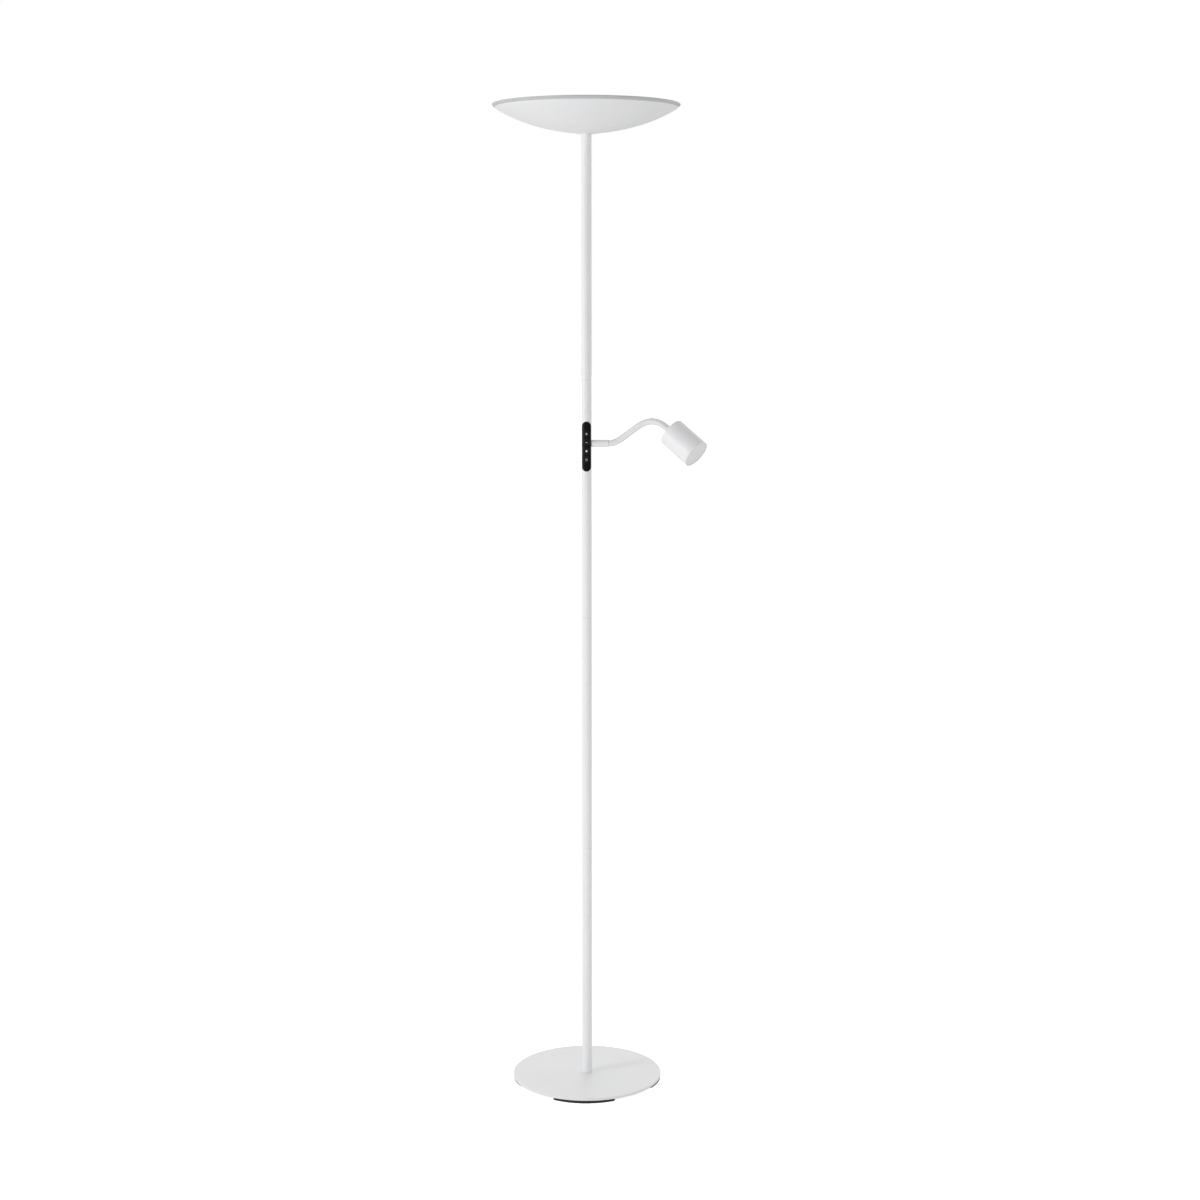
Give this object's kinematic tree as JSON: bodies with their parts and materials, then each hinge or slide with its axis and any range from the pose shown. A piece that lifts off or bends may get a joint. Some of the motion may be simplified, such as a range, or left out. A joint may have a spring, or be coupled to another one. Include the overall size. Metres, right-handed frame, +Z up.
{
  "type": "floor lamp",
  "caption": "Torchiere floor lamp: shallow uplight dish on a slim pole with a round base, push-key panel, and a small reading light on a flexible neck.",
  "frame": {"origin": "on the floor, on the pole's axis, midway between the four feet", "axes": "+Z up along the pole; -Y is the front, where the key panel is; +X is the side that the reading light's neck leaves from"},
  "size_m": [0.3856, 0.3368, 1.81],
  "materials": {
    "white_coat": "satin white powder coat",
    "neck_white": "satin white, finely ribbed",
    "ring_grey": "satin light grey plastic",
    "opal_plastic": "opal, unlit",
    "gloss_black": "glossy black",
    "key_black": "satin black with light marks",
    "plastic_black": "moulded, matt",
    "plastic_white": "moulded, matt",
    "foam_black": "closed-cell foam",
    "rubber_white": "soft moulded",
    "cable_white": "smooth sheath",
    "zinc_steel": "zinc plated",
    "aluminium_raw": "mill finish",
    "reflector_bright": "polished",
    "board_white": "white solder mask",
    "board_green": "green solder mask",
    "led_yellow": "phosphor"
  },
  "bodies": {
    "stand": {"base_plate": "white_coat", "foot_pads": "foam_black", "base_washer": "zinc_steel", "base_nut": "zinc_steel", "base_threaded_rod": "zinc_steel", "pole_foot_plug": "zinc_steel", "pole_tube_1": "white_coat", "pole_tube_2": "white_coat", "pole_tube_3": "white_coat", "pole_tube_4": "white_coat", "pole_sleeve_1": "zinc_steel", "pole_sleeve_2": "zinc_steel", "pole_sleeve_3": "zinc_steel", "cord_grommet": "rubber_white", "control_carrier": "plastic_black", "control_bezel": "gloss_black", "control_board": "board_green", "key_switches": "plastic_black", "board_screws": "zinc_steel", "uplight_lead": "cable_white", "arm_ferrule": "white_coat", "ferrule_nut": "zinc_steel", "neck_root": "neck_white", "pole_top_plug": "zinc_steel", "shade_threaded_rod": "zinc_steel", "uplight_shade": "white_coat", "shade_washer": "zinc_steel", "shade_nuts": "zinc_steel", "tray_spacer": "zinc_steel", "led_tray": "aluminium_raw", "uplight_led_board": "board_white", "uplight_leds": "led_yellow", "tray_screws": "zinc_steel", "lead_terminal": "plastic_white", "led_driver": "plastic_white", "shade_rim_ring": "ring_grey", "uplight_diffuser": "opal_plastic"},
    "link_1": {"neck_link_1": "neck_white"},
    "link_2": {"neck_link_2": "neck_white"},
    "link_3": {"neck_link_3": "neck_white"},
    "link_4": {"neck_link_4": "neck_white"},
    "link_5": {"neck_link_5": "neck_white"},
    "link_6": {"neck_link_6": "neck_white"},
    "link_7": {"neck_link_7": "neck_white"},
    "link_8": {"neck_link_8": "neck_white"},
    "link_9": {"neck_link_9": "neck_white"},
    "head": {"head_collar": "white_coat", "head_nut": "zinc_steel", "head_housing": "white_coat", "head_heat_sink": "aluminium_raw", "reading_led_board": "board_white", "reading_board_screws": "zinc_steel", "reading_led": "led_yellow", "reading_reflector": "reflector_bright", "reading_lens": "opal_plastic"},
    "key_plus": {"key_plus": "key_black"},
    "key_minus": {"key_minus": "key_black"},
    "key_uplight": {"key_uplight": "key_black"},
    "key_reading": {"key_reading": "key_black"}
  },
  "joints": [
    {"name": "neck_bend_1", "type": "hinge", "parent": "stand", "child": "link_1", "pos_m": [0.043, 0, 1.2049], "axis": [0, -1, 0], "range_deg": [-61.3, 11.7]},
    {"name": "neck_swing_1", "type": "hinge", "parent": "link_1", "child": "link_2", "pos_m": [0.05584, 0, 1.21083], "axis": [-0.4195, 0, 0.9078], "range_deg": [-26.2, 46.8]},
    {"name": "neck_bend_2", "type": "hinge", "parent": "link_2", "child": "link_3", "pos_m": [0.06847, -0.00253, 1.21667], "axis": [-0.1623, -0.9839, -0.075], "range_deg": [-52.5, 20.5]},
    {"name": "neck_swing_2", "type": "hinge", "parent": "link_3", "child": "link_4", "pos_m": [0.07897, -0.00496, 1.22581], "axis": [-0.6494, 0.0493, 0.7589], "range_deg": [-34.8, 38.2]},
    {"name": "neck_bend_3", "type": "hinge", "parent": "link_4", "child": "link_5", "pos_m": [0.0894, -0.0078, 1.23493], "axis": [0.1843, 0.9784, 0.0942], "range_deg": [-54.3, 18.7]},
    {"name": "neck_swing_3", "type": "hinge", "parent": "link_5", "child": "link_6", "pos_m": [0.10214, -0.01072, 1.24032], "axis": [-0.3928, -0.0145, 0.9195], "range_deg": [-28.2, 44.8]},
    {"name": "neck_bend_4", "type": "hinge", "parent": "link_6", "child": "link_7", "pos_m": [0.11437, -0.01561, 1.24547], "axis": [0.3124, 0.9383, 0.1483], "range_deg": [-72, 1]},
    {"name": "neck_swing_4", "type": "hinge", "parent": "link_7", "child": "link_8", "pos_m": [0.12756, -0.01946, 1.24211], "axis": [0.1825, -0.2125, 0.96], "range_deg": [-27.5, 45.5]},
    {"name": "neck_bend_5", "type": "hinge", "parent": "link_8", "child": "link_9", "pos_m": [0.13988, -0.02535, 1.23846], "axis": [0.4544, 0.8841, 0.1093], "range_deg": [-56.6, 16.4]},
    {"name": "neck_swing_5", "type": "hinge", "parent": "link_9", "child": "head", "pos_m": [0.15058, -0.02984, 1.23037], "axis": [0.471, -0.3426, 0.8129], "range_deg": [-27, 46]},
    {"name": "key_plus_press", "type": "slide", "parent": "stand", "child": "key_plus", "axis": [0, 1, 0], "range_m": [0, 0.0005], "stiffness_N_per_m": 600, "springref_m": -0.0005},
    {"name": "key_minus_press", "type": "slide", "parent": "stand", "child": "key_minus", "axis": [0, 1, 0], "range_m": [0, 0.0005], "stiffness_N_per_m": 600, "springref_m": -0.0005},
    {"name": "key_uplight_press", "type": "slide", "parent": "stand", "child": "key_uplight", "axis": [0, 1, 0], "range_m": [0, 0.0005], "stiffness_N_per_m": 600, "springref_m": -0.0005},
    {"name": "key_reading_press", "type": "slide", "parent": "stand", "child": "key_reading", "axis": [0, 1, 0], "range_m": [0, 0.0005], "stiffness_N_per_m": 600, "springref_m": -0.0005}
  ]
}
